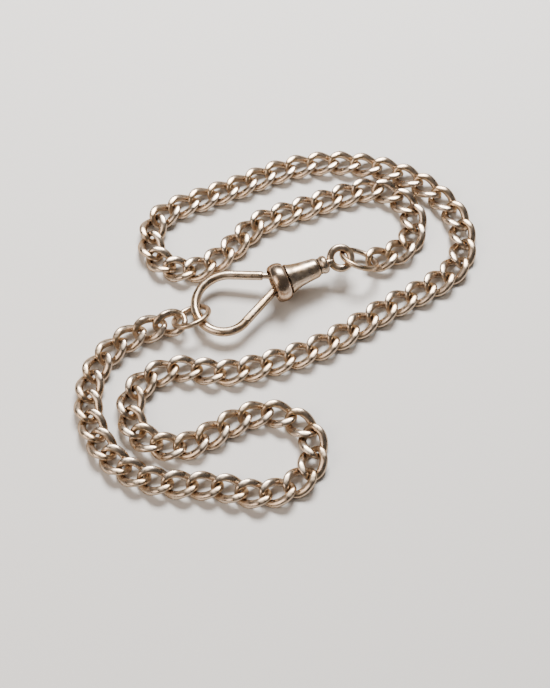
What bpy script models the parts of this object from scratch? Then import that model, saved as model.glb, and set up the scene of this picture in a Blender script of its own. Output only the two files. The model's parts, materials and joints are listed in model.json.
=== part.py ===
"""Pocket watch chain: a curb-link Albert chain with a swivel dog clip, laid on a table in one closed loop.

The chain leaves the clip's swivel eye, wanders over the table and comes back to the end ring, which hangs on the
clip's hook. Metres, +Z up. The table is the plane z = 0 before the whole object is centred on the origin.
"""

import math

import bmesh
import bpy
from mathutils import Matrix, Vector

MM = 0.001

# Curb links: a squarish oval of wire, thicker along its sides, twisted so that neighbouring links lie flat,
# then filed top and bottom.
LINK_COUNT = 84
LINK_END_WIRE = 1.15 * MM
LINK_SIDE_WIRE = 1.35 * MM
LINK_HALF_LENGTH = 2.90 * MM
LINK_HALF_WIDTH = 2.05 * MM
LINK_SQUARENESS = 2.4
LINK_TWIST = math.radians(-48.0)
LINK_HALF_THICKNESS = 1.33 * MM
LINK_POINTS = 12
PAIR_REACH = 2.36 * MM

# Way points of the chain on the table, in mm, from the swivel eye's jump ring to the end ring: every second
# joint between links. The joints between them bow outwards a little, as on an even curve.
ROUTE_MM = [
    (19.2, 18.4), (27.0, 22.6), (28.2, 31.2), (21.4, 36.6), (12.8, 34.4), (4.6, 31.2),
    (-3.8, 27.8), (-9.4, 21.2), (-17.0, 16.4), (-24.6, 20.2), (-24.2, 29.0), (-16.6, 33.4),
    (-8.8, 36.6), (-1.0, 40.4), (7.8, 43.0), (17.0, 43.0), (25.8, 40.6), (33.4, 35.4),
    (38.0, 27.6), (37.2, 18.6), (30.8, 12.8), (22.8, 8.4), (15.2, 3.2), (7.2, -1.4),
    (-1.6, -4.4), (-10.4, -6.4), (-19.4, -5.2), (-26.8, -10.2), (-25.8, -18.8), (-17.4, -21.8),
    (-9.6, -17.6), (-1.6, -14.4), (6.6, -18.4), (6.2, -26.8), (-1.8, -31.0), (-10.4, -29.2),
    (-19.6, -28.8), (-27.8, -25.8), (-33.2, -19.4), (-35.4, -11.2), (-33.0, -3.0), (-26.2, 2.4),
    (-18.4, 4.4),
]
BOW = 0.071

# Where the chain rises to the rings: way points' height above the rest, and the roll of the last links.
LIFT_MM = {0: 0.65, 1: 0.1, 40: 0.1, 41: 0.5, 42: 1.3}
LINK_ROLL = {82: math.radians(5.0), 83: math.radians(18.0), 84: math.radians(40.0)}

# The clip's own frame: +X along its axis towards the swivel eye, +Y across the hook, origin at the collar.
CLIP_CENTRE = Vector((1.2, 12.5, 3.9)) * MM
CLIP_HEADING = math.radians(22.4)
CLIP_TILT = math.radians(4.8)

# Hook: a round arm that leaves the base, sweeps round the far end, tightens and stops at the gate.
HOOK_WIRE = 1.75 * MM
HOOK_END_CENTRE = Vector((-11.4, 0.0, 0.0)) * MM
HOOK_END_RADIUS = 6.35 * MM
HOOK_TURN = math.radians(225.0)
HOOK_TIP_RADIUS = 5.1 * MM
HOOK_ROOT = Vector((-2.35, 2.585, 0.0)) * MM
TANG_RADIUS = 0.55 * MM
TANG_END = Vector((-0.3, 1.9, 0.0)) * MM
BASE_RADIUS = 2.75 * MM
BASE_FRONT = -1.3 * MM
BASE_BACK = 1.2 * MM
SPIGOT_RADIUS = 1.6 * MM
SPIGOT_END = 3.6 * MM

# Gate: a flat bar on a cross pin in the base's slot. Its tip meets the hook's on a slanting joint.
GATE_PIVOT = Vector((-0.8, -0.7, 0.0)) * MM
GATE_JOINT = Vector((-9.54, -5.2, 0.0)) * MM
GATE_JOINT_ANGLE = math.radians(-37.0)
GATE_HALF_WIDTH = 0.75 * MM
GATE_THICKNESS = 1.3 * MM
GATE_BOSS_RADIUS = 1.05 * MM
GATE_JOINT_GAP = 0.2 * MM
PIN_RADIUS = 0.4 * MM
PIN_LENGTH = 4.4 * MM
PIN_CLEARANCE = 0.15 * MM
SLOT_TOP = 0.85 * MM
SLOT_BOTTOM = -1.75 * MM
SLOT_SIDE = 0.5 * MM
SPRING_WIRE = 0.24 * MM
SPRING_RADIUS = 0.72 * MM
SPRING_TURNS = 2
SPRING_PITCH = 0.32 * MM
SPRING_START = -1.55 * MM

# Turned pieces on the clip's axis: outlines as (distance along the axis, radius), in mm.
COLLAR_MM = [
    (-1.75, 3.05), (-1.75, 3.2), (-1.65, 3.45), (-1.3, 3.72), (-0.8, 3.85), (0.2, 3.85), (0.7, 3.72),
    (1.05, 3.45), (1.15, 3.2), (1.15, 3.05),
]
BARREL_MM = [
    (1.45, 2.4), (1.45, 2.95), (2.4, 2.68), (3.4, 2.47), (4.7, 2.3), (6.2, 2.13), (7.55, 1.98), (8.0, 1.75),
    (8.0, 1.05), (7.2, 1.05), (7.2, 1.5), (4.8, 1.85), (3.2, 2.1),
]
NECK_BEAD_MM = [
    (8.2, 1.1), (8.2, 1.5), (8.4, 1.62), (8.6, 1.55), (8.8, 1.72), (9.1, 1.78), (9.5, 1.72), (9.8, 1.5), (9.9, 1.3),
    (9.9, 1.1),
]

# Swivel eye: a heavy ring on a shank that turns in the barrel and is headed over inside it.
EYE_CENTRE = 12.85 * MM
EYE_RADIUS = 2.0 * MM
EYE_WIRE = 1.45 * MM
EYE_ROLL = math.radians(25.0)
SHANK_RADIUS = 0.8 * MM
HEAD_RADIUS = 1.2 * MM
HEAD_START = 6.1 * MM
HEAD_END = 6.9 * MM

# Oval rings at the two ends of the chain: length and width of the wire's centre line.
JUMP_RING = (7.4 * MM, 7.0 * MM)
JUMP_RING_WIRE = 1.0 * MM
JUMP_RING_CENTRE = Vector((16.74, 17.93, 3.58)) * MM
JUMP_RING_HEADING = math.radians(18.6)
JUMP_RING_DIP = math.radians(30.1)
JUMP_RING_ROLL = math.radians(-21.3)
END_RING = (7.4 * MM, 6.6 * MM)
END_RING_WIRE = 1.05 * MM
END_RING_CENTRE = Vector((-16.32, 5.42, 2.5)) * MM
END_RING_HEADING = math.radians(49.4)
END_RING_DIP = math.radians(14.6)
END_RING_ROLL = math.radians(-32.2)
RING_POINTS = 20

TURN_STEPS = 24
SILVER = (0.72, 0.66, 0.60)
DARK_STEEL = (0.35, 0.33, 0.31)


def clear_scene():
    for obj in list(bpy.data.objects):
        bpy.data.objects.remove(obj, do_unlink=True)


def collection(name):
    made = bpy.data.collections.new(name)
    bpy.context.scene.collection.children.link(made)
    return made


def metal(name, colour, roughness):
    material = bpy.data.materials.new(name)
    material.use_nodes = True
    shader = material.node_tree.nodes["Principled BSDF"]
    shader.inputs["Base Color"].default_value = (*colour, 1.0)
    shader.inputs["Metallic"].default_value = 1.0
    shader.inputs["Roughness"].default_value = roughness
    return material


def empty(name, location, rotation):
    made = bpy.data.objects.new(name, None)
    made.location = location
    made.rotation_euler = rotation
    PARTS.objects.link(made)
    return made


def mesh_object(name, mesh):
    made = bpy.data.objects.new(name, mesh)
    PARTS.objects.link(made)
    return made


def finish(obj, name, colour=SILVER, roughness=0.25):
    """Names a piece, gives it its own metal and shades it smooth."""
    obj.name = name
    obj.data.name = name
    obj.data.materials.clear()
    obj.data.materials.append(metal(name, colour, roughness))
    obj.data.shade_smooth()
    obj.data.set_sharp_from_angle(angle=math.radians(40.0))
    return obj


def evaluated_mesh(obj):
    """A mesh of the object as its modifiers or its curve bevel leave it, in its own frame."""
    bpy.context.view_layer.update()
    graph = bpy.context.evaluated_depsgraph_get()
    return bpy.data.meshes.new_from_object(obj.evaluated_get(graph))


def wire_mesh(points, radius, closed, resolution=1, swell=None):
    """A round wire along the points, as a welded mesh. Swell multiplies its radius point by point."""
    curve = bpy.data.curves.new("wire", "CURVE")
    curve.dimensions = "3D"
    curve.bevel_depth = radius
    curve.bevel_resolution = resolution
    curve.use_fill_caps = True
    spline = curve.splines.new("POLY")
    spline.points.add(len(points) - 1)
    for spline_point, point, factor in zip(spline.points, points, swell or [1.0] * len(points)):
        spline_point.co = (*point, 1.0)
        spline_point.radius = factor
    spline.use_cyclic_u = closed
    guide = mesh_object("wire", curve)
    mesh = evaluated_mesh(guide)
    bpy.data.objects.remove(guide, do_unlink=True)
    shape = bmesh.new()
    shape.from_mesh(mesh)
    bmesh.ops.remove_doubles(shape, verts=shape.verts, dist=0.001 * MM)
    shape.to_mesh(mesh)
    shape.free()
    return mesh


def turned_mesh(outline_mm, steps=TURN_STEPS):
    """A solid of revolution about +X from a closed outline of (distance along the axis, radius)."""
    profile = bmesh.new()
    verts = [profile.verts.new((radius * MM, 0.0, -along * MM)) for along, radius in outline_mm]
    for first, second in zip(verts, verts[1:] + verts[:1]):
        profile.edges.new((first, second))
    mesh = bpy.data.meshes.new("profile")
    profile.to_mesh(mesh)
    profile.free()
    guide = mesh_object("profile", mesh)
    screw = guide.modifiers.new("Turn", "SCREW")
    screw.axis = "Z"
    screw.steps = steps
    screw.render_steps = steps
    screw.use_merge_vertices = True
    screw.merge_threshold = 0.001 * MM
    turned = evaluated_mesh(guide)
    bpy.data.objects.remove(guide, do_unlink=True)
    turned.transform(Matrix.Rotation(math.radians(-90.0), 4, "Y"))
    return turned


def rod_mesh(radius, start, end, steps=TURN_STEPS):
    """A cylinder along +X from start to end."""
    shape = bmesh.new()
    bmesh.ops.create_cone(
        shape, cap_ends=True, segments=steps, radius1=radius, radius2=radius, depth=end - start
    )
    mesh = bpy.data.meshes.new("rod")
    shape.to_mesh(mesh)
    shape.free()
    mesh.transform(Matrix.Rotation(math.radians(90.0), 4, "Y"))
    mesh.transform(Matrix.Translation(((start + end) / 2, 0.0, 0.0)))
    return mesh


def box_mesh(low, high):
    shape = bmesh.new()
    bmesh.ops.create_cube(shape, size=1.0)
    size = Vector(high) - Vector(low)
    bmesh.ops.scale(shape, vec=size, verts=shape.verts)
    bmesh.ops.translate(shape, vec=(Vector(low) + Vector(high)) / 2, verts=shape.verts)
    mesh = bpy.data.meshes.new("box")
    shape.to_mesh(mesh)
    shape.free()
    return mesh


def combine(mesh, other, operation):
    """The Boolean of two closed meshes in one frame, as a new mesh."""
    target = mesh_object("target", mesh)
    tool = bpy.data.objects.new("tool", other)
    TOOLS.objects.link(tool)
    tool.hide_render = True
    tool.display_type = "WIRE"
    modifier = target.modifiers.new("Combine", "BOOLEAN")
    modifier.operation = operation
    modifier.solver = "EXACT"
    modifier.object = tool
    combined = evaluated_mesh(target)
    bpy.data.objects.remove(target, do_unlink=True)
    bpy.data.objects.remove(tool, do_unlink=True)
    return combined


def chain_joints():
    """The points where each link meets the next, from the jump ring to the end ring."""
    stops = []
    for index, (x, y) in enumerate(ROUTE_MM):
        stops.append(Vector((x * MM, y * MM, LINK_HALF_THICKNESS + LIFT_MM.get(index, 0.0) * MM)))
    before = 2 * stops[0] - stops[1]
    after = 2 * stops[-1] - stops[-2]
    padded = [before, *stops, after]
    joints = []
    for index in range(1, len(stops)):
        far, near, following, farther = padded[index - 1 : index + 3]
        joints.append(near)
        joints.append((near + following) / 2 + BOW * (near + following - far - farther))
    joints.append(stops[-1])
    return joints


def file_flat(shape, side):
    """Files one face of a link flat: the top (1) or the one it lies on (-1)."""
    everything = [*shape.verts, *shape.edges, *shape.faces]
    cut = bmesh.ops.bisect_plane(
        shape,
        geom=everything,
        dist=0.001 * MM,
        plane_co=(0.0, 0.0, side * LINK_HALF_THICKNESS),
        plane_no=(0.0, 0.0, side),
        clear_outer=True,
    )
    rims = [item for item in cut["geom_cut"] if isinstance(item, bmesh.types.BMEdge)]
    bmesh.ops.holes_fill(shape, edges=rims)
    bmesh.ops.recalc_face_normals(shape, faces=shape.faces)


def squared(value):
    """A sine or cosine bulged outwards, which turns an ellipse into a squarer oval."""
    return math.copysign(abs(value) ** (2 / LINK_SQUARENESS), value)


def curb_link_mesh():
    """One curb link, lying flat, its length along X."""
    points = []
    swell = []
    for step in range(LINK_POINTS):
        angle = 2 * math.pi * step / LINK_POINTS
        along = squared(math.cos(angle))
        across = LINK_HALF_WIDTH * squared(math.sin(angle))
        twist = LINK_TWIST * along
        points.append(Vector((LINK_HALF_LENGTH * along, across * math.cos(twist), across * math.sin(twist))))
        swell.append(1.0 + (LINK_SIDE_WIRE / LINK_END_WIRE - 1.0) * math.sin(angle) ** 2)
    mesh = wire_mesh(points, LINK_END_WIRE / 2, closed=True, swell=swell)
    shape = bmesh.new()
    shape.from_mesh(mesh)
    for side in (1.0, -1.0):
        file_flat(shape, side)
    shape.to_mesh(mesh)
    shape.free()
    return mesh


def laid_along(direction, roll):
    """The turn that lays a link's length along a direction, rolled about that length."""
    heading = Matrix.Rotation(math.atan2(direction.y, direction.x), 4, "Z")
    slope = Matrix.Rotation(-math.atan2(direction.z, direction.xy.length), 4, "Y")
    return heading @ slope @ Matrix.Rotation(roll, 4, "X")


def link_pair(number, link, joints):
    """Links number and number + 1, joined where they touch, with the origin at the joint before them."""
    before, middle, after = joints[number - 1 : number + 2]
    placed = []
    for offset, direction, side in ((0, middle - before, -1.0), (1, after - middle, 1.0)):
        centre = middle + side * PAIR_REACH * direction.normalized()
        turn = laid_along(direction, LINK_ROLL.get(number + offset, 0.0))
        copy = link.copy()
        copy.transform(Matrix.Translation(centre - before) @ turn)
        placed.append(copy)
    pair = mesh_object("links", combine(placed[0], placed[1], "UNION"))
    pair.location = before
    return finish(pair, f"links_{number:02d}_{number + 1:02d}")


def oval_ring(name, size, wire, centre, heading, dip, roll):
    """An oval ring of round wire. Heading, dip and roll turn it about Z, its width and its length."""
    length, width = size
    points = []
    for step in range(RING_POINTS):
        angle = 2 * math.pi * step / RING_POINTS
        points.append(Vector((length / 2 * math.cos(angle), width / 2 * math.sin(angle), 0.0)))
    ring = mesh_object(name, wire_mesh(points, wire / 2, closed=True))
    ring.matrix_world = (
        Matrix.Translation(centre)
        @ Matrix.Rotation(heading, 4, "Z")
        @ Matrix.Rotation(dip, 4, "Y")
        @ Matrix.Rotation(roll, 4, "X")
    )
    return finish(ring, name)


def arc(centre, radius, first, last, steps):
    points = []
    for step in range(steps + 1):
        angle = first + (last - first) * step / steps
        points.append(centre + radius * Vector((math.cos(angle), math.sin(angle), 0.0)))
    return points


def hook_path():
    """The centre line of the hook's arm: straight from its root, then round the far end past the gate."""
    reach = HOOK_ROOT - HOOK_END_CENTRE
    first = math.atan2(reach.y, reach.x) + math.acos(HOOK_END_RADIUS / reach.length)
    wide = arc(HOOK_END_CENTRE, HOOK_END_RADIUS, first, HOOK_TURN, 11)
    inward = (HOOK_END_RADIUS - HOOK_TIP_RADIUS) * Vector((math.cos(HOOK_TURN), math.sin(HOOK_TURN), 0.0))
    tip_centre = HOOK_END_CENTRE + inward
    tip = GATE_JOINT - tip_centre
    last = math.atan2(tip.y, tip.x) + 2 * math.pi + math.radians(12.0)
    tight = arc(tip_centre, HOOK_TIP_RADIUS, HOOK_TURN, last, 6)
    return [HOOK_ROOT, *wide, *tight[1:]]


def joint_cutter(side):
    """A block whose face lies along the slanting joint, on the gate's side (1) or the hook's side (-1)."""
    reach = 4.0 * MM
    near = -side * GATE_JOINT_GAP / 2
    far = side * reach
    low = (-reach, min(near, far), -reach)
    high = (reach, max(near, far), reach)
    block = box_mesh(low, high)
    block.transform(Matrix.Translation(GATE_JOINT) @ Matrix.Rotation(GATE_JOINT_ANGLE, 4, "Z"))
    return block


def hook():
    """The fixed arm with its thin tang, the slotted base in the collar and the spigot in the barrel."""
    arm = wire_mesh(hook_path(), HOOK_WIRE / 2, closed=False, resolution=2)
    arm = combine(arm, joint_cutter(1), "DIFFERENCE")
    inside_arm = HOOK_ROOT + (HOOK_ROOT - TANG_END) * 0.4
    tang = wire_mesh([inside_arm, TANG_END], TANG_RADIUS, closed=False, resolution=2)
    base = rod_mesh(BASE_RADIUS, BASE_FRONT, BASE_BACK)
    base = combine(base, rod_mesh(SPIGOT_RADIUS, BASE_BACK - 0.5 * MM, SPIGOT_END), "UNION")
    slot_low = (BASE_FRONT - 1.0 * MM, -BASE_RADIUS - 1.0 * MM, SLOT_BOTTOM)
    slot_high = (0.6 * MM, SLOT_SIDE, SLOT_TOP)
    base = combine(base, box_mesh(slot_low, slot_high), "DIFFERENCE")
    pin_hole = rod_mesh(PIN_RADIUS + PIN_CLEARANCE, -4.0 * MM, 4.0 * MM, steps=16)
    pin_hole.transform(Matrix.Translation(GATE_PIVOT) @ Matrix.Rotation(math.radians(90.0), 4, "Y"))
    base = combine(base, pin_hole, "DIFFERENCE")
    whole = combine(combine(base, tang, "UNION"), arm, "UNION")
    made = mesh_object("hook", whole)
    made.parent = CLIP
    return finish(made, "hook")


def gate():
    """The sprung bar that closes the hook, with its origin on the cross pin."""
    along = (GATE_JOINT - GATE_PIVOT).normalized()
    across = Vector((-along.y, along.x, 0.0))
    reach = (GATE_JOINT - GATE_PIVOT).length + 2.0 * MM
    curve = bpy.data.curves.new("gate", "CURVE")
    curve.dimensions = "2D"
    curve.fill_mode = "BOTH"
    curve.extrude = GATE_THICKNESS / 2
    outline = []
    half_angle = math.asin(GATE_HALF_WIDTH / GATE_BOSS_RADIUS)
    steps = 12
    for step in range(steps + 1):
        angle = half_angle + (2 * math.pi - 2 * half_angle) * step / steps
        outline.append(GATE_BOSS_RADIUS * (math.cos(angle) * along + math.sin(angle) * across))
    outline.append(reach * along - GATE_HALF_WIDTH * across)
    outline.append(reach * along + GATE_HALF_WIDTH * across)
    bore = []
    for step in range(steps):
        angle = 2 * math.pi * step / steps
        spot = Vector((math.cos(angle), math.sin(angle), 0.0))
        bore.append((PIN_RADIUS + PIN_CLEARANCE) * spot)
    for points in (outline, bore):
        spline = curve.splines.new("POLY")
        spline.points.add(len(points) - 1)
        for spline_point, point in zip(spline.points, points):
            spline_point.co = (*point, 1.0)
        spline.use_cyclic_u = True
    guide = mesh_object("gate", curve)
    bar = evaluated_mesh(guide)
    bpy.data.objects.remove(guide, do_unlink=True)
    shape = bmesh.new()
    shape.from_mesh(bar)
    bmesh.ops.remove_doubles(shape, verts=shape.verts, dist=0.001 * MM)
    shape.to_mesh(bar)
    shape.free()
    cutter = joint_cutter(-1)
    cutter.transform(Matrix.Translation(-GATE_PIVOT))
    made = mesh_object("gate", combine(bar, cutter, "DIFFERENCE"))
    made.parent = CLIP
    made.location = GATE_PIVOT
    return finish(made, "gate")


def gate_pin():
    mesh = rod_mesh(PIN_RADIUS, -PIN_LENGTH / 2, PIN_LENGTH / 2, steps=12)
    mesh.transform(Matrix.Rotation(math.radians(90.0), 4, "Y"))
    made = mesh_object("gate_pin", mesh)
    made.parent = CLIP
    made.location = GATE_PIVOT
    return finish(made, "gate_pin", DARK_STEEL, 0.35)


def gate_spring():
    """A small torsion coil round the pin, beside the gate."""
    points_per_turn = 8
    points = []
    for step in range(SPRING_TURNS * points_per_turn + 1):
        angle = 2 * math.pi * step / points_per_turn
        height = SPRING_START + SPRING_PITCH * step / points_per_turn
        points.append(
            Vector((SPRING_RADIUS * math.cos(angle), SPRING_RADIUS * math.sin(angle), height))
        )
    made = mesh_object("gate_spring", wire_mesh(points, SPRING_WIRE / 2, closed=False))
    made.parent = CLIP
    made.location = GATE_PIVOT
    return finish(made, "gate_spring", DARK_STEEL, 0.35)


def turned_piece(name, outline_mm):
    made = mesh_object(name, turned_mesh(outline_mm))
    made.parent = CLIP
    return finish(made, name)


def swivel_eye():
    """The heavy ring with its shank, which turns in the barrel's end and is headed over inside."""
    ring_points = []
    for step in range(RING_POINTS):
        angle = 2 * math.pi * step / RING_POINTS
        ring_points.append(Vector((EYE_RADIUS * math.cos(angle), EYE_RADIUS * math.sin(angle), 0.0)))
    ring = wire_mesh(ring_points, EYE_WIRE / 2, closed=True, resolution=2)
    shank_end = -EYE_RADIUS
    shank = rod_mesh(SHANK_RADIUS, HEAD_START + 0.2 * MM - EYE_CENTRE, shank_end, steps=16)
    head = rod_mesh(HEAD_RADIUS, HEAD_START - EYE_CENTRE, HEAD_END - EYE_CENTRE, steps=16)
    made = mesh_object("swivel_eye", combine(combine(ring, shank, "UNION"), head, "UNION"))
    made.parent = CLIP
    made.location = (EYE_CENTRE, 0.0, 0.0)
    made.rotation_euler = (EYE_ROLL, 0.0, 0.0)
    return finish(made, "swivel_eye")


def centre_on_origin(root):
    """Moves everything so that the box round the whole object stands on the origin."""
    bpy.context.view_layer.update()
    corners = []
    for obj in PARTS.objects:
        if obj.type == "MESH":
            corners.extend(obj.matrix_world @ vertex.co for vertex in obj.data.vertices)
    low = Vector([min(corner[axis] for corner in corners) for axis in range(3)])
    high = Vector([max(corner[axis] for corner in corners) for axis in range(3)])
    root.location = -Vector(((low.x + high.x) / 2, (low.y + high.y) / 2, low.z))
    bpy.context.view_layer.update()


clear_scene()
PARTS = collection("pocket_watch_chain")
TOOLS = collection("cutters")
ORIGIN = empty("origin", (0.0, 0.0, 0.0), (0.0, 0.0, 0.0))
CLIP = empty("clip_axis", CLIP_CENTRE, (0.0, -CLIP_TILT, CLIP_HEADING))

hook()
turned_piece("collar", COLLAR_MM)
turned_piece("barrel", BARREL_MM)
gate()
gate_pin()
gate_spring()
turned_piece("neck_bead", NECK_BEAD_MM)
swivel_eye()
oval_ring(
    "jump_ring", JUMP_RING, JUMP_RING_WIRE, JUMP_RING_CENTRE, JUMP_RING_HEADING, JUMP_RING_DIP, JUMP_RING_ROLL
)
LINK = curb_link_mesh()
JOINTS = chain_joints()
for first_link in range(1, LINK_COUNT, 2):
    link_pair(first_link, LINK, JOINTS)
oval_ring(
    "end_ring", END_RING, END_RING_WIRE, END_RING_CENTRE, END_RING_HEADING, END_RING_DIP, END_RING_ROLL
)
for part in PARTS.objects:
    if part.parent is None and part != ORIGIN:
        part.parent = ORIGIN
centre_on_origin(ORIGIN)
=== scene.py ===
"""Pocket watch chain: polished silver curb chain, swivel clip and rings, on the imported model's bodies."""
import json
import math

import bmesh
import bpy
from mathutils import Matrix, Vector

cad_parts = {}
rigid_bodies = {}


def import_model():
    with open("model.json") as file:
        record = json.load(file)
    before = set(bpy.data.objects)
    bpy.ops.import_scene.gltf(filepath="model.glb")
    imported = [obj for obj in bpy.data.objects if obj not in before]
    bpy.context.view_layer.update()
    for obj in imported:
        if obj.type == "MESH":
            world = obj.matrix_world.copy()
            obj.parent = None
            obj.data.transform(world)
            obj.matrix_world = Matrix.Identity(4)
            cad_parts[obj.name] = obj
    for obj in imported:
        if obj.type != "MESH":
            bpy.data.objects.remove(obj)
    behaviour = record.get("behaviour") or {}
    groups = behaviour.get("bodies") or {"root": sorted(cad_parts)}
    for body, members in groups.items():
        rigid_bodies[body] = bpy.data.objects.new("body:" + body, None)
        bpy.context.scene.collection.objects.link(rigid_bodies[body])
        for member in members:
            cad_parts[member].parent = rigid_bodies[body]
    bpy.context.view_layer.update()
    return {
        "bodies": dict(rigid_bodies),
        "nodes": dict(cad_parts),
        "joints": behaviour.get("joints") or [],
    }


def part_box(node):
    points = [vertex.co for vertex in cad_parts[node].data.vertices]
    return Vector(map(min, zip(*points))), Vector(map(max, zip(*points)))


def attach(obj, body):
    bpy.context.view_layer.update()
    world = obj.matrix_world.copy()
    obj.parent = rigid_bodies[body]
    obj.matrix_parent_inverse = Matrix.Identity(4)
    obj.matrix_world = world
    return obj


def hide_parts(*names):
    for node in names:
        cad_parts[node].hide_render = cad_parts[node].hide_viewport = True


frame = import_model()

MM = 0.001
SHARP_ANGLE = math.radians(38.0)
JOINTS = {joint["name"]: joint for joint in frame["joints"]}


# Meshes


def finished(name, shape, materials):
    """An object from a bmesh, shaded smooth with its hard edges kept."""
    bmesh.ops.recalc_face_normals(shape, faces=shape.faces)
    mesh = bpy.data.meshes.new(name)
    shape.to_mesh(mesh)
    shape.free()
    for material in materials:
        mesh.materials.append(material)
    mesh.shade_smooth()
    mesh.set_sharp_from_angle(angle=SHARP_ANGLE)
    made = bpy.data.objects.new(name, mesh)
    bpy.context.scene.collection.objects.link(made)
    return made


def swept(points, ups, sizes, closed, sides=20, power=2.0):
    """A bar swept along points. Sizes are half widths and half heights; power squares its section off."""
    shape = bmesh.new()
    rings = []
    count = len(points)
    for index, (point, up, (wide, high)) in enumerate(zip(points, ups, sizes)):
        if closed:
            along = points[(index + 1) % count] - points[index - 1]
        else:
            along = points[min(index + 1, count - 1)] - points[max(index - 1, 0)]
        along.normalize()
        side = along.cross(up).normalized()
        top = side.cross(along)
        ring = []
        for step in range(sides):
            angle = 2 * math.pi * step / sides
            c, s = math.cos(angle), math.sin(angle)
            across = wide * math.copysign(abs(c) ** (2 / power), c)
            upward = high * math.copysign(abs(s) ** (2 / power), s)
            ring.append(shape.verts.new(point + across * side + upward * top))
        rings.append(ring)
    spans = list(zip(rings, rings[1:]))
    if closed:
        spans.append((rings[-1], rings[0]))
    for first, second in spans:
        for step in range(sides):
            after = (step + 1) % sides
            shape.faces.new((first[step], first[after], second[after], second[step]))
    if not closed:
        shape.faces.new(rings[0])
        shape.faces.new(rings[-1])
    return shape


def turned(outline_mm, steps=72):
    """A solid turned about +X from a closed outline of (distance along the axis, radius), in mm."""
    shape = bmesh.new()
    rings = []
    for along, radius in outline_mm:
        ring = []
        for step in range(steps):
            angle = 2 * math.pi * step / steps
            spot = (along * MM, radius * MM * math.cos(angle), radius * MM * math.sin(angle))
            ring.append(shape.verts.new(spot))
        rings.append(ring)
    for first, second in zip(rings, rings[1:] + rings[:1]):
        for step in range(steps):
            after = (step + 1) % steps
            shape.faces.new((first[step], first[after], second[after], second[step]))
    bmesh.ops.remove_doubles(shape, verts=shape.verts, dist=1e-7)
    return shape


def cut_flat(shape, spot, normal, reach):
    """Cuts off what lies beyond a plane, within reach of the spot, and closes the cut."""
    near = {vert for vert in shape.verts if (vert.co - spot).length < reach}
    edges = [edge for edge in shape.edges if near.issuperset(edge.verts)]
    faces = [face for face in shape.faces if near.issuperset(face.verts)]
    cut = bmesh.ops.bisect_plane(
        shape,
        geom=[*near, *edges, *faces],
        dist=1e-7,
        plane_co=spot,
        plane_no=normal,
        clear_outer=True,
    )
    rim = [item for item in cut["geom_cut"] if isinstance(item, bmesh.types.BMEdge)]
    bmesh.ops.holes_fill(shape, edges=rim)


# Metals

EDGE_TINT = (0.42, 0.30, 0.20)
# Painted shade: the colour that ambient occlusion blends in where pieces meet and in hollows, and how far
# that reaches.
PAINTED_SHADE = (0.05, 0.025, 0.014)
PAINTED_SHADE_REACH = 0.6 * MM
SCRATCH_SCALE = 9000.0
SCRATCH_STRENGTH = 0.15
SCRATCH_DEPTH = 0.000012
DENT_SCALE = 700.0
DENT_STRENGTH = 0.2
DENT_DEPTH = 0.00003


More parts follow.
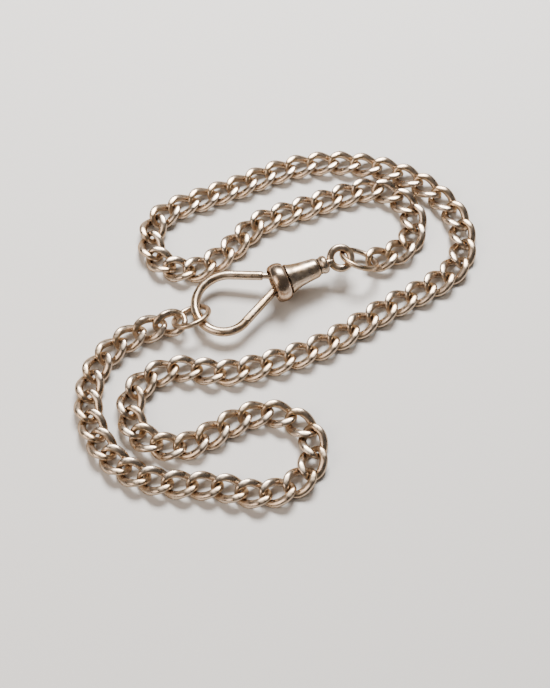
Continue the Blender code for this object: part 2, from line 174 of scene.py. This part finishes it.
def metal(name, light, warm, recess_shade, roughness, scale):
    """Worn metal: patches of warm tarnish, fine scratches, and painted shade that darkens the colour in
    hollows and where pieces meet.
    """
    material = bpy.data.materials.new(name)
    material.use_nodes = True
    nodes, links = material.node_tree.nodes, material.node_tree.links
    shader = nodes["Principled BSDF"]
    shader.inputs["Metallic"].default_value = 1.0
    shader.inputs["Specular Tint"].default_value = (*EDGE_TINT, 1.0)
    place = nodes.new("ShaderNodeTexCoord")

    patches = nodes.new("ShaderNodeTexNoise")
    patches.inputs["Scale"].default_value = scale
    patches.inputs["Detail"].default_value = 6.0
    patches.inputs["Roughness"].default_value = 0.6
    links.new(place.outputs["Object"], patches.inputs["Vector"])
    tone = nodes.new("ShaderNodeValToRGB")
    tone.color_ramp.elements[0].position = 0.38
    tone.color_ramp.elements[0].color = (*warm, 1.0)
    tone.color_ramp.elements[1].position = 0.62
    tone.color_ramp.elements[1].color = (*light, 1.0)
    links.new(patches.outputs["Fac"], tone.inputs["Fac"])

    # Painted shade: ambient occlusion mixes the base colour towards the recess shade colour in hollows and
    # where pieces meet.
    shelter = nodes.new("ShaderNodeAmbientOcclusion")
    shelter.samples = 8
    shelter.inputs["Distance"].default_value = PAINTED_SHADE_REACH
    reach = nodes.new("ShaderNodeMapRange")
    reach.inputs["From Min"].default_value = 0.15
    reach.inputs["From Max"].default_value = 0.7
    links.new(shelter.outputs["AO"], reach.inputs["Value"])
    painted_shade_mix = nodes.new("ShaderNodeMix")
    painted_shade_mix.data_type = "RGBA"
    painted_shade_mix.inputs["A"].default_value = (*recess_shade, 1.0)
    links.new(reach.outputs["Result"], painted_shade_mix.inputs["Factor"])
    links.new(tone.outputs["Color"], painted_shade_mix.inputs["B"])
    links.new(painted_shade_mix.outputs["Result"], shader.inputs["Base Color"])

    wear = nodes.new("ShaderNodeTexNoise")
    wear.inputs["Scale"].default_value = scale * 3.1
    wear.inputs["Detail"].default_value = 4.0
    links.new(place.outputs["Object"], wear.inputs["Vector"])
    polish = nodes.new("ShaderNodeMapRange")
    polish.inputs["From Min"].default_value = 0.3
    polish.inputs["From Max"].default_value = 0.7
    polish.inputs["To Min"].default_value = roughness * 0.75
    polish.inputs["To Max"].default_value = roughness * 1.45
    links.new(wear.outputs["Fac"], polish.inputs["Value"])
    links.new(polish.outputs["Result"], shader.inputs["Roughness"])

    stretch = nodes.new("ShaderNodeMapping")
    stretch.inputs["Scale"].default_value = (0.35, 1.0, 1.0)
    links.new(place.outputs["Object"], stretch.inputs["Vector"])
    fine = nodes.new("ShaderNodeTexNoise")
    fine.inputs["Scale"].default_value = SCRATCH_SCALE
    fine.inputs["Detail"].default_value = 3.0
    links.new(stretch.outputs["Vector"], fine.inputs["Vector"])
    dents = nodes.new("ShaderNodeTexNoise")
    dents.inputs["Scale"].default_value = DENT_SCALE
    dents.inputs["Detail"].default_value = 2.0
    links.new(place.outputs["Object"], dents.inputs["Vector"])
    dent_bump = nodes.new("ShaderNodeBump")
    dent_bump.inputs["Strength"].default_value = DENT_STRENGTH
    dent_bump.inputs["Distance"].default_value = DENT_DEPTH
    links.new(dents.outputs["Fac"], dent_bump.inputs["Height"])
    bump = nodes.new("ShaderNodeBump")
    bump.inputs["Strength"].default_value = SCRATCH_STRENGTH
    bump.inputs["Distance"].default_value = SCRATCH_DEPTH
    links.new(fine.outputs["Fac"], bump.inputs["Height"])
    links.new(dent_bump.outputs["Normal"], bump.inputs["Normal"])
    links.new(bump.outputs["Normal"], shader.inputs["Normal"])
    return material


# The third colour of each metal is the painted shade of its hollows.
SILVER = metal("silver", (0.57, 0.47, 0.38), (0.46, 0.33, 0.21), PAINTED_SHADE, 0.28, 300.0)
LINK_SILVER = metal("link_silver", (0.57, 0.47, 0.38), (0.45, 0.32, 0.20), PAINTED_SHADE, 0.28, 330.0)
COLLAR_SILVER = metal("collar_silver", (0.58, 0.46, 0.37), (0.47, 0.34, 0.24), PAINTED_SHADE, 0.24, 240.0)
# A darker copy of the silver: painted shade for the disc and its fork, recessed inside the collar.
SHADED_SILVER = metal("shaded_silver", (0.30, 0.23, 0.18), (0.16, 0.11, 0.08), (0.03, 0.02, 0.015), 0.45, 900.0)
STEEL = metal("steel", (0.42, 0.40, 0.38), (0.30, 0.26, 0.23), (0.06, 0.05, 0.04), 0.4, 900.0)


# The chain: one curb link, then all of them at the model's joints

LINK_END = (1.12 * MM, 1.08 * MM)
LINK_SIDE = (1.58 * MM, 1.32 * MM)
LINK_HALF_LENGTH = 2.94 * MM
LINK_HALF_WIDTH = 1.98 * MM
LINK_SQUARENESS = 2.4
LINK_STEPS = 72
LINK_TWIST = math.radians(-48.0)
LINK_HALF_THICKNESS = 1.34 * MM
FILED_FROM = 1.06 * MM
LINK_ROLL = {82: math.radians(5.0), 83: math.radians(18.0), 84: math.radians(40.0)}
BOW = 0.071


def filed(height):
    """A height on a link after wear has rounded its top and underside off."""
    over = abs(height) - FILED_FROM
    if over <= 0:
        return height
    room = LINK_HALF_THICKNESS - FILED_FROM
    return math.copysign(FILED_FROM + room * (1 - math.exp(-over / room)), height)


def squared(value):
    """A sine or cosine bulged outwards, which turns an ellipse into a squarer oval."""
    return math.copysign(abs(value) ** (2 / LINK_SQUARENESS), value)


def curb_link():
    """One link: thick along its sides, slim where it hooks round its neighbours, twisted and worn flat."""
    points, ups, sizes = [], [], []
    for step in range(LINK_STEPS):
        angle = 2 * math.pi * (step + 0.5) / LINK_STEPS
        along = squared(math.cos(angle))
        across = LINK_HALF_WIDTH * squared(math.sin(angle))
        turn = LINK_TWIST * along
        points.append(Vector((LINK_HALF_LENGTH * along, across * math.cos(turn), across * math.sin(turn))))
        ups.append(Vector((0.0, -math.sin(turn), math.cos(turn))))
        fat = math.sin(angle) ** 2
        sizes.append([(end + fat * (side - end)) / 2 for end, side in zip(LINK_END, LINK_SIDE)])
    shape = swept(points, ups, sizes, closed=True, sides=20, power=2.2)
    for vert in shape.verts:
        vert.co.z = filed(vert.co.z)
    return finished("curb_link", shape, [LINK_SILVER])


def chain_bends():
    """The links' bodies in order, and the points where each link meets the next, in the row frame."""
    names = [name for name in frame["bodies"] if name.startswith("links_")]
    known = [Vector(JOINTS[f"{name}_swing"]["pos_m"]) for name in sorted(names)]
    known.append(Vector(JOINTS["end_ring_swing"]["pos_m"]))
    before = 2 * known[0] - known[1]
    after = 2 * known[-1] - known[-2]
    padded = [before, *known, after]
    bends = []
    for index in range(1, len(padded) - 2):
        far, near, following, farther = padded[index - 1 : index + 3]
        bends.append(near)
        bends.append((near + following) / 2 + BOW * (near + following - far - farther))
    bends.append(known[-1])
    return sorted(names), bends


PATTERN = curb_link()
BODY_NAMES, BENDS = chain_bends()
for number, (start, end) in enumerate(zip(BENDS, BENDS[1:]), start=1):
    body = BODY_NAMES[(number - 1) // 2]
    link = bpy.data.objects.new(f"link_{number:02d}", PATTERN.data)
    bpy.context.scene.collection.objects.link(link)
    heading = end - start
    slope = math.atan2(heading.z, heading.xy.length)
    link.matrix_world = (
        Matrix.Translation((start + end) / 2)
        @ Matrix.Rotation(math.atan2(heading.y, heading.x), 4, "Z")
        @ Matrix.Rotation(-slope, 4, "Y")
        @ Matrix.Rotation(LINK_ROLL.get(number, 0.0), 4, "X")
    )
    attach(link, body)
    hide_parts(body)
bpy.data.objects.remove(PATTERN, do_unlink=True)


# Rings at the chain's ends, in the place of the model's

RING_STEPS = 96


def oval_ring(name, size_mm, wire_mm, heading, dip, roll):
    """A ring of round wire, centred on the model's. Heading, dip and roll are in degrees."""
    low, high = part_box(name)
    points, ups, sizes = [], [], []
    for step in range(RING_STEPS):
        angle = 2 * math.pi * step / RING_STEPS
        points.append(Vector((size_mm[0] / 2 * math.cos(angle), size_mm[1] / 2 * math.sin(angle), 0.0)) * MM)
        ups.append(Vector((0.0, 0.0, 1.0)))
        sizes.append((wire_mm / 2 * MM, wire_mm / 2 * MM))
    ring = finished(f"{name}_wire", swept(points, ups, sizes, closed=True, sides=24), [SILVER])
    ring.matrix_world = (
        Matrix.Translation((low + high) / 2)
        @ Matrix.Rotation(math.radians(heading), 4, "Z")
        @ Matrix.Rotation(math.radians(dip), 4, "Y")
        @ Matrix.Rotation(math.radians(roll), 4, "X")
    )
    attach(ring, name)
    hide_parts(name)


oval_ring("jump_ring", (7.4, 7.0), 1.08, 18.6, 30.1, -21.3)
oval_ring("end_ring", (7.4, 6.6), 1.08, 49.4, 14.6, -32.2)


# The clip, in its own frame: +X along its axis to the swivel eye, +Y across the hook, origin at the collar

ALONG = Vector(JOINTS["swivel_turn"]["axis"]).normalized()
UPWARD = -Vector(JOINTS["gate_hinge"]["axis"]).normalized()
ACROSS = UPWARD.cross(ALONG)
CLIP = Matrix((ALONG, ACROSS, UPWARD)).transposed().to_4x4()
CLIP.translation = Vector(JOINTS["swivel_turn"]["pos_m"])

HOOK_END_CENTRE = Vector((-11.4, 0.0, 0.0)) * MM
HOOK_END_RADIUS = 6.35 * MM
HOOK_TURN = math.radians(225.0)
HOOK_TIP_RADIUS = 5.1 * MM
HOOK_ROOT = Vector((-2.35, 2.585, 0.0)) * MM
HOOK_SHOULDER = 0.5 * MM
HOOK_RADIUS = 0.90 * MM
HOOK_PAST_JOINT = math.radians(14.0)
TANG_RADIUS = 0.6 * MM
TANG_BACK_MM = (1.9, 0.6)
SHOULDER_MM = ((0.0, 0.14), (0.06, 0.04), (0.16, 0.0))
GATE_PIVOT = Vector((-0.8, -0.7, 0.0)) * MM
GATE_JOINT = Vector((-9.54, -5.2, 0.0)) * MM
GATE_ROOT_MM = (0.68, 0.6)
GATE_SWELL_MM = (0.15, 0.14)
JOINT_ANGLE = math.radians(-37.0)
JOINT_GAP = 0.09 * MM
BASE_RADIUS = 2.75 * MM
BASE_FRONT = -1.3 * MM
SLOT_END = 0.6 * MM
SLOT_SIDE = 0.5 * MM
SLOT_TOP = 0.85 * MM
SLOT_BOTTOM = -1.75 * MM
HOOK_BASE_MM = [(0.58, 0.0), (0.58, 2.75), (1.2, 2.75), (1.2, 1.6), (3.6, 1.6), (3.6, 0.0)]


def on_clip(obj, body, *nodes, at=Vector()):
    """Places a piece in the clip's frame, on a body, in place of the model's nodes."""
    obj.matrix_world = CLIP @ Matrix.Translation(at)
    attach(obj, body)
    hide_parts(*nodes)
    return obj


def arc(centre, radius, first, last, steps):
    """Points along an arc in the clip's plane."""
    points = []
    for step in range(steps + 1):
        angle = first + (last - first) * step / steps
        points.append(centre + radius * Vector((math.cos(angle), math.sin(angle), 0.0)))
    return points


def hook_arm():
    """The round arm: thin tang, rounded shoulder, a straight, then two arcs round to the gate's joint."""
    reach = HOOK_ROOT - HOOK_END_CENTRE
    first = math.atan2(reach.y, reach.x) + math.acos(HOOK_END_RADIUS / reach.length)
    inward = (HOOK_END_RADIUS - HOOK_TIP_RADIUS) * Vector((math.cos(HOOK_TURN), math.sin(HOOK_TURN), 0.0))
    tip_centre = HOOK_END_CENTRE + inward
    tip = GATE_JOINT - tip_centre
    last = math.atan2(tip.y, tip.x) + 2 * math.pi + HOOK_PAST_JOINT
    meet = HOOK_END_CENTRE + HOOK_END_RADIUS * Vector((math.cos(first), math.sin(first), 0.0))
    straight = (meet - HOOK_ROOT).normalized()
    points = []
    for back in TANG_BACK_MM:
        points.append((HOOK_ROOT - straight * back * MM, TANG_RADIUS))
    shoulder = HOOK_ROOT + straight * HOOK_SHOULDER
    points.append((shoulder - straight * 0.03 * MM, TANG_RADIUS))
    for along, less in SHOULDER_MM:
        points.append((shoulder + straight * along * MM, HOOK_RADIUS - less * MM))
    for step in range(1, 12):
        points.append((shoulder.lerp(meet, 0.05 + 0.95 * step / 12), HOOK_RADIUS))
    wide = arc(HOOK_END_CENTRE, HOOK_END_RADIUS, first, HOOK_TURN, 80)
    tight = arc(tip_centre, HOOK_TIP_RADIUS, HOOK_TURN, last, 34)
    for spot in (*wide, *tight[1:]):
        points.append((spot, HOOK_RADIUS))
    shape = swept(
        [spot for spot, _ in points],
        [Vector((0.0, 0.0, 1.0))] * len(points),
        [(radius, radius) for _, radius in points],
        closed=False,
        sides=32,
    )
    normal = Vector((-math.sin(JOINT_ANGLE), math.cos(JOINT_ANGLE), 0.0))
    cut_flat(shape, GATE_JOINT - normal * JOINT_GAP / 2, normal, 4.0 * MM)
    return finished("hook_arm", shape, [SILVER])


def hook_base():
    """The disc inside the collar that carries the arm, and its spigot in the barrel."""
    # Coloured with the shaded silver, painted shade for the disc inside the collar.
    return finished("hook_base", turned(HOOK_BASE_MM), [SHADED_SILVER])


def hook_fork():
    """The front of that disc, slotted from one side for the gate's root."""
    first = math.atan2(SLOT_TOP, -math.sqrt(BASE_RADIUS**2 - SLOT_TOP**2))
    last = math.atan2(SLOT_BOTTOM, -math.sqrt(BASE_RADIUS**2 - SLOT_BOTTOM**2))
    outline = []
    steps = 48
    for step in range(steps + 1):
        angle = first + (last - first) * step / steps
        outline.append((BASE_RADIUS * math.cos(angle), BASE_RADIUS * math.sin(angle)))
    outline += [(SLOT_SIDE, SLOT_BOTTOM), (SLOT_SIDE, SLOT_TOP)]
    shape = bmesh.new()
    front = [shape.verts.new((BASE_FRONT, across, upward)) for across, upward in outline]
    back = [shape.verts.new((SLOT_END, across, upward)) for across, upward in outline]
    shape.faces.new(front)
    shape.faces.new(back)
    for near, far, near_next, far_next in zip(front, back, front[1:] + front[:1], back[1:] + back[:1]):
        shape.faces.new((near, near_next, far_next, far))
    # Coloured with the shaded silver, painted shade for the fork inside the collar.
    return finished("hook_fork", shape, [SHADED_SILVER])


def gate_bar():
    """The sprung bar, a little heavier towards its tip, cut along the slanting joint."""
    along = (GATE_JOINT - GATE_PIVOT).normalized()
    length = (GATE_JOINT - GATE_PIVOT).length + 2.2 * MM
    points, sizes = [], []
    count = 30
    for step in range(count + 1):
        share = step / count
        points.append(along * (share * length - 0.5 * MM))
        swell = 0.5 - 0.5 * math.cos(math.pi * min(1.0, share * 1.25))
        sizes.append([(root + more * swell) * MM for root, more in zip(GATE_ROOT_MM, GATE_SWELL_MM)])
    shape = swept(points, [Vector((0.0, 0.0, 1.0))] * len(points), sizes, closed=False, sides=32, power=3.2)
    normal = Vector((-math.sin(JOINT_ANGLE), math.cos(JOINT_ANGLE), 0.0))
    cut_flat(shape, GATE_JOINT - GATE_PIVOT + normal * JOINT_GAP / 2, -normal, 4.0 * MM)
    return finished("gate_bar", shape, [SILVER])


on_clip(hook_arm(), "clip", "hook")
on_clip(hook_base(), "clip", "hook")
on_clip(hook_fork(), "clip", "hook")
on_clip(gate_bar(), "gate", "gate", at=GATE_PIVOT)

COLLAR_MM = [
    (-1.5, 3.02), (-1.72, 3.1), (-1.75, 3.25), (-1.7, 3.42), (-1.5, 3.6), (-1.2, 3.75), (-0.75, 3.86),
    (-0.3, 3.9), (0.15, 3.86), (0.6, 3.75), (0.9, 3.6), (1.1, 3.42), (1.15, 3.25), (1.12, 3.1),
    (0.9, 3.02),
]
BARREL_MM = [
    (1.5, 2.2), (1.42, 2.75), (1.46, 2.9), (1.56, 2.98), (1.75, 2.96), (2.4, 2.7), (3.2, 2.49),
    (4.2, 2.33), (5.2, 2.2), (6.3, 2.09), (7.3, 2.0), (7.45, 1.97), (7.92, 1.74), (7.98, 1.66),
    (8.0, 1.1), (7.6, 1.06), (7.4, 1.06), (7.2, 1.2), (7.0, 1.5), (4.8, 1.75), (3.2, 2.0),
]
BEAD_MM = [
    (8.12, 1.1), (8.1, 1.3), (8.12, 1.5), (8.2, 1.64), (8.32, 1.68), (8.42, 1.64), (8.48, 1.6),
    (8.56, 1.64), (8.7, 1.75), (8.95, 1.83), (9.25, 1.83), (9.52, 1.75), (9.74, 1.6), (9.86, 1.42),
    (9.92, 1.1),
]
on_clip(finished("collar_bead", turned(COLLAR_MM), [COLLAR_SILVER]), "clip", "collar")
on_clip(finished("barrel_sleeve", turned(BARREL_MM), [SILVER]), "clip", "barrel")
on_clip(finished("neck_bead_ring", turned(BEAD_MM), [SILVER]), "swivel", "neck_bead")


EYE_AT = Vector((12.8, 0.0, 0.0)) * MM
EYE_RADIUS = 2.07 * MM
EYE_HALF_WIRE = (0.73 * MM, 0.75 * MM)
EYE_ROLL = math.radians(25.0)


def swivel_eye():
    """The heavy ring after the bead."""
    points, ups, sizes = [], [], []
    for step in range(RING_STEPS):
        angle = 2 * math.pi * step / RING_STEPS
        points.append(Vector((math.cos(angle), math.sin(angle), 0.0)) * EYE_RADIUS)
        ups.append(Vector((0.0, 0.0, 1.0)))
        sizes.append(EYE_HALF_WIRE)
    return finished("swivel_eye_ring", swept(points, ups, sizes, closed=True, sides=28, power=2.3), [SILVER])


eye = swivel_eye()
eye.matrix_world = CLIP @ Matrix.Translation(EYE_AT) @ Matrix.Rotation(EYE_ROLL, 4, "X")
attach(eye, "swivel")
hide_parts("swivel_eye")
SHANK_MM = [(6.1, 0.0), (6.1, 1.1), (6.2, 1.2), (6.8, 1.2), (6.9, 1.1), (6.95, 0.8), (11.0, 0.8), (11.2, 0.0)]
on_clip(finished("swivel_shank", turned(SHANK_MM, 40), [SILVER]), "swivel", "swivel_eye")

for name in ("gate_pin", "gate_spring"):
    frame["nodes"][name].data.materials.clear()
    frame["nodes"][name].data.materials.append(STEEL)


# Floor, light and camera

FLOOR_COLOUR = (0.80, 0.79, 0.78)
FLOOR_HEIGHT = -0.00005


def floor():
    """A plain pale table top, just under the chain."""
    shape = bmesh.new()
    bmesh.ops.create_grid(shape, x_segments=1, y_segments=1, size=1.5)
    material = bpy.data.materials.new("floor")
    material.use_nodes = True
    shader = material.node_tree.nodes["Principled BSDF"]
    shader.inputs["Base Color"].default_value = (*FLOOR_COLOUR, 1.0)
    shader.inputs["Roughness"].default_value = 0.85
    made = finished("floor", shape, [material])
    made.location.z = FLOOR_HEIGHT


def area_light(name, spot, size, power, colour, target):
    light = bpy.data.lights.new(name, "AREA")
    light.shape = "RECTANGLE"
    light.size, light.size_y = size
    light.energy = power
    light.color = colour
    made = bpy.data.objects.new(name, light)
    made.location = spot
    made.rotation_euler = (Vector(target) - Vector(spot)).to_track_quat("-Z", "Y").to_euler()
    bpy.context.scene.collection.objects.link(made)


VIEW_TARGET = Vector((-1.522, -6.221, 1.368)) * MM
VIEW_ELEVATION = math.radians(62.0)
VIEW_DISTANCE = 222.5 * MM
SENSOR_WIDTH_MM = 36.0
FOCAL_LENGTH_MM = 75.27


def camera():
    lens = bpy.data.cameras.new("camera")
    lens.sensor_fit = "HORIZONTAL"
    lens.sensor_width = SENSOR_WIDTH_MM
    lens.lens = FOCAL_LENGTH_MM
    lens.clip_start, lens.clip_end = 0.01, 10.0
    made = bpy.data.objects.new("camera", lens)
    back = Vector((0.0, -math.cos(VIEW_ELEVATION), math.sin(VIEW_ELEVATION)))
    made.location = VIEW_TARGET + back * VIEW_DISTANCE
    made.rotation_euler = (-back).to_track_quat("-Z", "Y").to_euler()
    bpy.context.scene.collection.objects.link(made)
    bpy.context.scene.camera = made


floor()
area_light("key", (0.02, 0.30, 0.38), (0.24, 0.15), 6.0, (1.0, 0.98, 0.95), (0.0, 0.0, 0.0))
area_light("fill", (-0.32, -0.16, 0.30), (0.30, 0.30), 1.3, (1.0, 0.84, 0.70), (0.0, 0.0, 0.0))
world = bpy.data.worlds.new("studio")
world.use_nodes = True
world.node_tree.nodes["Background"].inputs["Color"].default_value = (0.62, 0.58, 0.55, 1.0)
world.node_tree.nodes["Background"].inputs["Strength"].default_value = 0.16
bpy.context.scene.world = world
camera()
